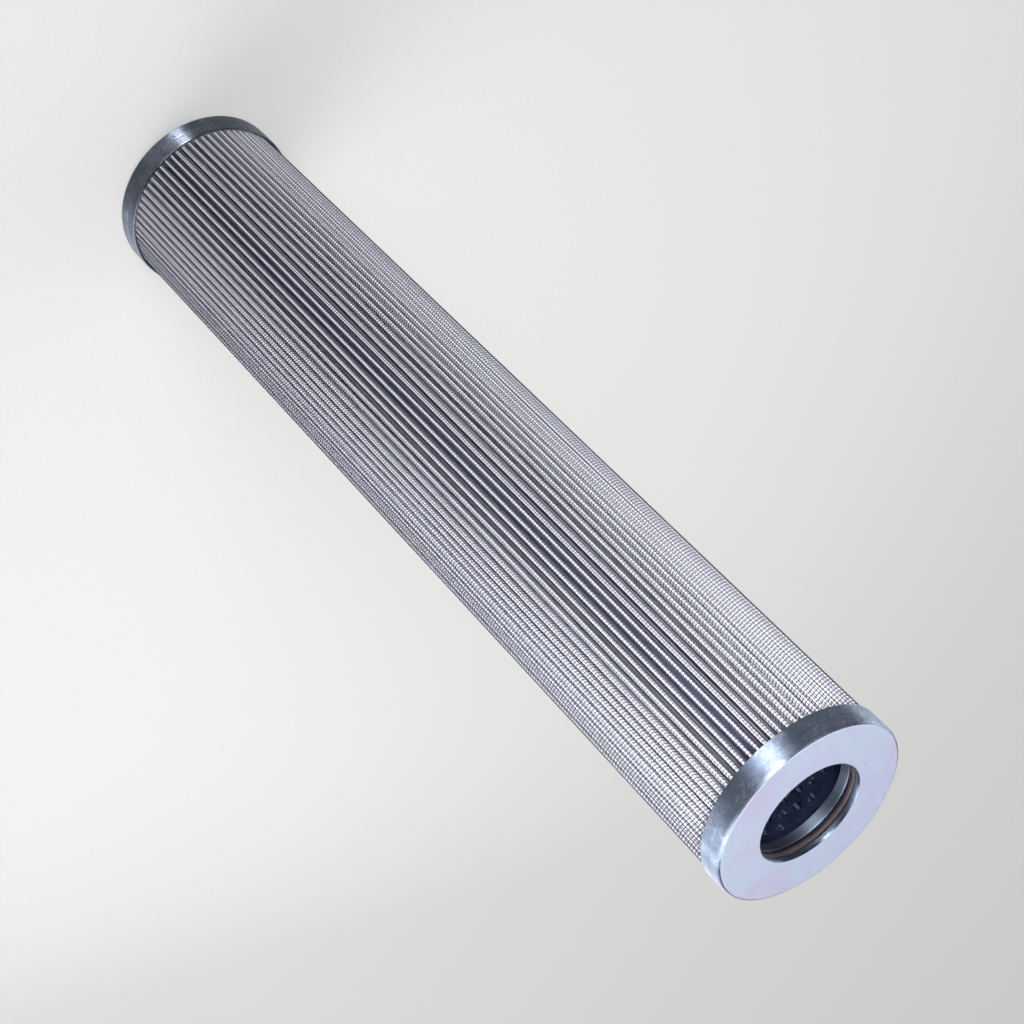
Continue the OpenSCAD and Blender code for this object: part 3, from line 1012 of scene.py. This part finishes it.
# %% Wires along the crests
def warp_wires(order, heights, first_weft):
    """One warp wire on every pleat, at a whole number of pitches from the wire nearest the top.

    It goes down where a weft wire goes up. With first_weft None it is straight, as on a flank.
    """
    pleat = np.arange(PLEATS)[:, None, None]
    travel = WARP_PHASE[pleat] + WARP_PITCH * order
    lift = 0.0
    if first_weft is not None:
        weft = np.arange(len(heights))[None, :, None] + first_weft
        lift = -CRIMP * np.cos(np.pi * (order + weft))
    depth = CLOTH / 2 - lift + DEPTH_ACROSS
    return pleat_points(pleat, travel + ACROSS, depth, heights[None, :, None])


halves = [(0, WEFTS // 2 + 1), (WEFTS // 2, WEFTS)]
centred = WARP_PHASE == 0
for part, (first, last) in enumerate(halves):
    heights = weft_height[first:last]
    wires = [warp_wires(0, heights, first), warp_wires(-1, heights, first),
             warp_wires(1, heights, first)[centred]]
    strips(f"crest_warps_{part + 1}", np.concatenate(wires))

FLANK_ROWS = 13
flank_heights = np.linspace(weft_height[0], weft_height[-1], FLANK_ROWS)
wires = [warp_wires(order, flank_heights, None) for order in (-2, 2)]
wires += [warp_wires(-3, flank_heights, None), warp_wires(1, flank_heights, None)[~centred],
          warp_wires(3, flank_heights, None)[centred]]
strips("flank_warps", np.concatenate(wires))
print(f"{total_triangles} triangles so far")

# %% [markdown]
# ## Pieces that stay as the solids are
#
# The inner wire cloth shows only as a glint behind the holes of the tube. The side seam is a bead
# of white adhesive in one valley, and the potting is the casting resin in the caps. Their
# solids have the right shape, so they only get their finishes.

# %% Inner cloth, seam and potting
def inner_cloth_material():
    """Wire lines at whole pitches of height and of distance from the axis, on bare fleece.

    Both tints are dark blue greys, which is painted shade of the inside of the tube.
    """
    material, tree, output = new_material("Galvanised steel wire cloth, inside")
    place = add_node(tree, "ShaderNodeTexCoord").outputs["Object"]
    axes = add_node(tree, "ShaderNodeSeparateXYZ", {"Vector": place})
    flat = add_node(tree, "ShaderNodeCombineXYZ", {"X": axes.outputs["X"], "Y": axes.outputs["Y"]})
    radius = add_node(tree, "ShaderNodeVectorMath", {0: flat.outputs["Vector"]},
                      operation="LENGTH")
    along = wave_ridge(tree, axes.outputs["Z"], WEFT_PITCH * MM, 0.0)
    down = wave_ridge(tree, radius.outputs["Value"], WARP_PITCH * MM, 0.0)
    nearest = add_node(tree, "ShaderNodeMath", {0: along, 1: down}, operation="MINIMUM")
    # Painted shade: both tints are dark blue greys.
    tint = ramp(tree, nearest.outputs["Value"],
                [(0.0, "#2a2c3c"), (0.2, "#2a2c3c"), (0.3, "#5a5e74")])
    shader = add_node(tree, "ShaderNodeBsdfPrincipled",
                      {"Base Color": tint, "Metallic": 0.3, "Roughness": 0.5})
    tree.links.new(shader.outputs["BSDF"], output.inputs["Surface"])
    return material


def resin_material(name, light, dark):
    """Smooth, with flow marks of 5 mm."""
    material, tree, output = new_material(name)
    place = add_node(tree, "ShaderNodeTexCoord").outputs["Object"]
    flow = add_node(tree, "ShaderNodeTexNoise",
                    {"Vector": place, "Scale": per_metre(5.0), "Detail": 3.0, "Roughness": 0.5})
    tint = ramp(tree, flow.outputs["Fac"], [(0.3, dark), (0.7, light)])
    shader = add_node(tree, "ShaderNodeBsdfPrincipled",
                      {"Base Color": tint, "Roughness": 0.45, "IOR": 1.5})
    tree.links.new(shader.outputs["BSDF"], output.inputs["Surface"])
    return material


def finish_node(node, material):
    """Puts a material in every slot of a CAD node, and leaves its mesh alone."""
    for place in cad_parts[node].material_slots:
        place.material = material


finish_node("inner_wire_cloth", inner_cloth_material())
finish_node("side_seam", resin_material("White seam adhesive", "#e9e7e2", "#d8d5cd"))
POTTING = resin_material("Grey casting resin", "#8c8a88", "#75736f")
finish_node("open_end_potting", POTTING)
finish_node("closed_end_potting", POTTING)
print("finished the four remaining solids")

# %% [markdown]
# ## Floor and light
#
# The element stands on plain pale paper. Paper lit only by lamps near the element would fade to
# grey further off, so part of its brightness is a faint glow of its own, which only the camera,
# mirrors and glass see, and which throws no light on the element. The other part is real light,
# so the shadow stays. The lamps are those of a small product studio. A rim is a mirror bent round
# the axis: a lamp that stands at an angle from the front shows at half that angle on the rim.
# So two narrow strips in front give the bright band, soft lamps at the sides and behind give the
# pale ends, and the dark zones between them are where no lamp stands. The far rim has two lamps
# of its own, linked to it, so that they don't flatten the pack above it. Big soft lamps overhead
# and to the right light the open face, and an even grey surround fills the valleys of the pack.

# %% Floor
GLOW_NEAR, GLOW_FAR = 0.38, 0.20
FADE_FROM, FADE_TO = 3.0, 12.0
FLOOR_HALF_SIDE = 30.0


def floor_material():
    """Pale to the camera, in mirrors and through glass, and dark for the light it throws back.

    Between FADE_FROM and FADE_TO metres away the glow sinks to the brightness of the surround,
    so that no horizon shows.
    """
    material, tree, output = new_material("Matt pale paper")
    place = add_node(tree, "ShaderNodeTexCoord").outputs["Object"]
    fibre = add_node(tree, "ShaderNodeTexNoise",
                     {"Vector": place, "Scale": per_metre(2.0), "Detail": 2.0})
    pale = ramp(tree, fibre.outputs["Fac"], [(0.3, "#7e7e7d"), (0.7, "#828281")])
    path = add_node(tree, "ShaderNodeLightPath")
    direct = add_node(tree, "ShaderNodeMath",
                      {0: path.outputs["Is Camera Ray"], 1: path.outputs["Is Glossy Ray"]},
                      operation="ADD")
    seen = add_node(tree, "ShaderNodeMath",
                    {0: direct.outputs["Value"], 1: path.outputs["Is Transmission Ray"]},
                    operation="ADD", use_clamp=True)
    tint = add_node(tree, "ShaderNodeMix",
                    {"Factor": seen.outputs["Value"], "A": colour("#454545"), "B": pale},
                    data_type="RGBA")
    distance = add_node(tree, "ShaderNodeVectorMath", {0: place}, operation="LENGTH")
    evenness = add_node(tree, "ShaderNodeMapRange",
                        {"Value": distance.outputs["Value"], "From Min": FADE_FROM,
                         "From Max": FADE_TO, "To Min": GLOW_NEAR, "To Max": GLOW_FAR})
    glow = add_node(tree, "ShaderNodeMath",
                    {0: seen.outputs["Value"], 1: evenness.outputs["Result"]},
                    operation="MULTIPLY")
    shader = add_node(tree, "ShaderNodeBsdfPrincipled",
                      {"Base Color": tint.outputs[2], "Roughness": 0.9,
                       "Emission Color": colour("#fffffe"),
                       "Emission Strength": glow.outputs["Value"]})
    tree.links.new(shader.outputs["BSDF"], output.inputs["Surface"])
    return material


def make_floor(half_side):
    """A square at height 0, facing up."""
    mesh = bpy.data.meshes.new("floor")
    corners = [(-half_side, -half_side, 0), (half_side, -half_side, 0),
               (half_side, half_side, 0), (-half_side, half_side, 0)]
    mesh.from_pydata(corners, [], [(0, 1, 2, 3)])
    mesh.materials.append(floor_material())
    floor = bpy.data.objects.new("floor", mesh)
    bpy.context.scene.collection.objects.link(floor)
    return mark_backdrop(floor)


make_floor(FLOOR_HALF_SIDE)
print(f"floor {2 * FLOOR_HALF_SIDE:.0f} m square")

# %% Lamps
def make_lamp(name, place, aim, size, power):
    """An area lamp of a width and height in metres, facing the point aim."""
    data = bpy.data.lights.new(name, "AREA")
    data.shape = "RECTANGLE"
    data.size, data.size_y = size
    data.energy = power
    lamp = bpy.data.objects.new(name, data)
    forward = np.array(aim, dtype=float) - np.array(place, dtype=float)
    forward /= np.linalg.norm(forward)
    sideways = np.cross(forward, (0.0, 0.0, 1.0))
    sideways /= np.linalg.norm(sideways)
    matrix = np.eye(4)
    matrix[:3, 0] = sideways
    matrix[:3, 1] = np.cross(sideways, forward)
    matrix[:3, 2] = -forward
    matrix[:3, 3] = place
    lamp.matrix_world = Matrix(matrix.tolist())
    lamp.visible_camera = False
    bpy.context.scene.collection.objects.link(lamp)
    return lamp


def light_only(lamps, piece):
    """Links lamps to one piece, as flags in front of them would keep them off all the others."""
    lit = bpy.data.collections.new(f"lit {piece.name}")
    lit.objects.link(piece)
    for lamp in lamps:
        lamp.light_linking.receiver_collection = lit


def set_world(code, strength):
    """An even surround of one colour."""
    world = bpy.data.worlds.new("surround")
    bpy.context.scene.world = world
    world.use_nodes = True
    background = world.node_tree.nodes["Background"]
    background.inputs["Color"].default_value = colour(code)
    background.inputs["Strength"].default_value = strength


make_lamp("overhead lamp", (0.0, 1.2, 3.0), (0.0, 1.19, 0.0), (2.4, 2.4), 42.0)
make_lamp("high lamp on the right", (1.2, 0.3, 1.8), (0.0, 0.0, 0.3), (1.0, 1.0), 27.0)
make_lamp("strip lamp in front", (-0.06, -0.40, 0.80), (0.0, 0.0, 0.50), (0.14, 0.4), 3.2)
make_lamp("strip lamp in front on the right", (0.03, -0.40, 0.80), (0.0, 0.0, 0.50), (0.14, 0.4),
          1.1)
make_lamp("low lamp in front", (-0.25, -0.85, 0.16), (0.0, 0.0, 0.10), (0.22, 0.26), 1.8)
make_lamp("low lamp on the left", (-0.28, -0.53, 0.12), (0.0, 0.0, 0.03), (0.14, 0.2), 0.5)
left_rim_lamp = make_lamp("rim lamp on the left", (-0.28, -0.53, 0.12), (0.0, 0.0, 0.01),
                          (0.08, 0.2), 9.5)
right_rim_lamp = make_lamp("rim lamp on the right", (0.6, 0.06, 0.12), (0.0, 0.0, 0.01),
                           (0.5, 0.2), 6.0)
light_only([left_rim_lamp, right_rim_lamp], closed_cap)
make_lamp("side lamp on the right", (0.45, -0.04, 0.80), (0.0, 0.0, 0.46), (0.4, 0.4), 0.9)
make_lamp("soft lamp beside on the right", (0.55, 0.05, 0.62), (0.0, 0.0, 0.50), (0.35, 0.45), 1.2)
make_lamp("soft lamp behind on the right", (0.52, 0.45, 0.40), (0.0, 0.0, 0.46), (0.8, 0.35), 3.8)
make_lamp("soft lamp behind on the left", (-0.50, 0.50, 0.66), (0.0, 0.0, 0.46), (0.6, 0.45), 2.1)
set_world("#bcbcc0", 0.56)
bpy.context.scene.view_settings.view_transform = "Standard"
lamps = [item for item in bpy.data.objects if item.type == "LIGHT"]
print(f"{len(lamps)} lamps, {sum(lamp.data.energy for lamp in lamps):.1f} W in all")
